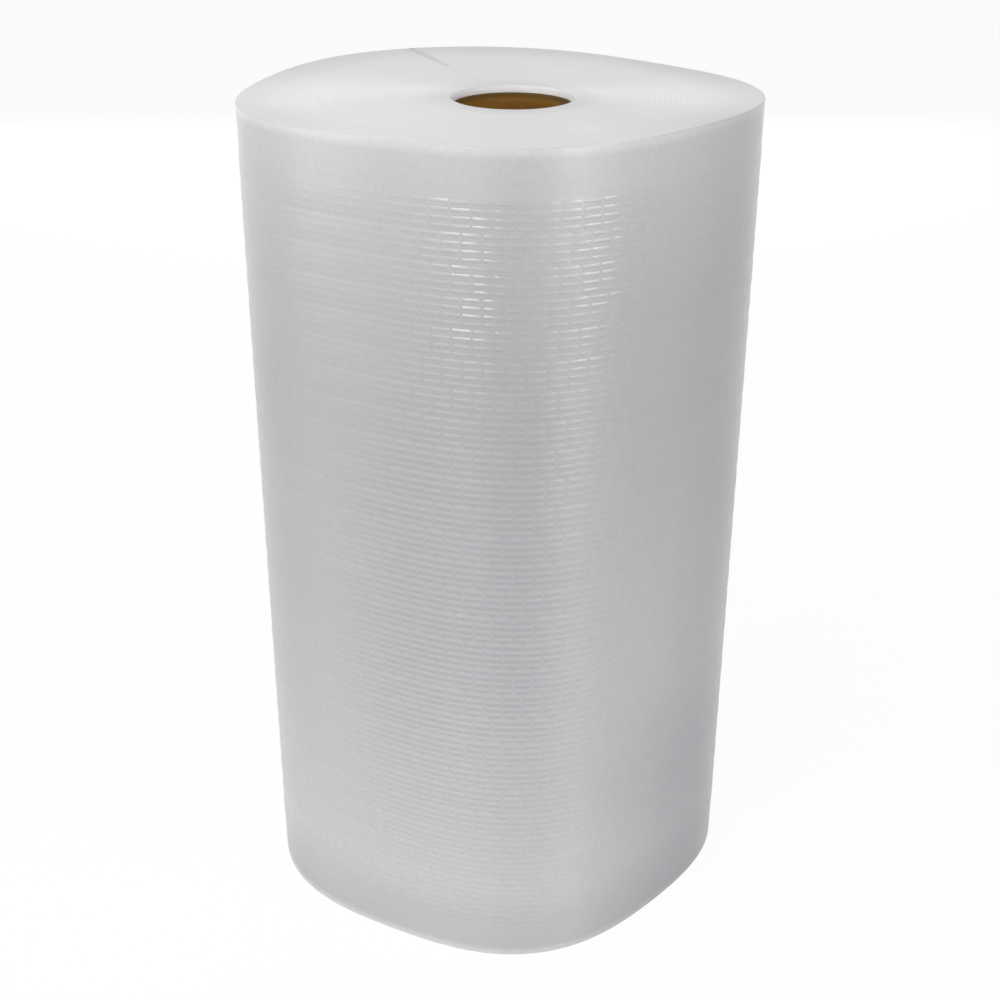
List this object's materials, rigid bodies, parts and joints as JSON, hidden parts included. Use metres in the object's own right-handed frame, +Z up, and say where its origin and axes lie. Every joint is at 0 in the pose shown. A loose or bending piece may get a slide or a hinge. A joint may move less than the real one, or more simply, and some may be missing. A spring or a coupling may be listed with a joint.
{
  "type": "vacuum sealer bag roll",
  "caption": "Roll of clear embossed tubular film for heat-sealing vacuum food bags, wound on a hollow paperboard core and standing on one end.",
  "frame": {"origin": "centre of the roll's extents in plan, on the surface that the lower end stands on", "axes": "+Z up along the core, across the film's width; -Y towards the side seen from the front; the film's free end runs up the back"},
  "size_m": [0.1648, 0.1656, 0.28],
  "materials": {
    "film": "milky translucent embossed film, satin, many turns deep",
    "paperboard": "uncoated brown spiral-wound paperboard, matt"
  },
  "bodies": {
    "root": {"film_roll": "film", "core": "paperboard"}
  },
  "joints": []
}
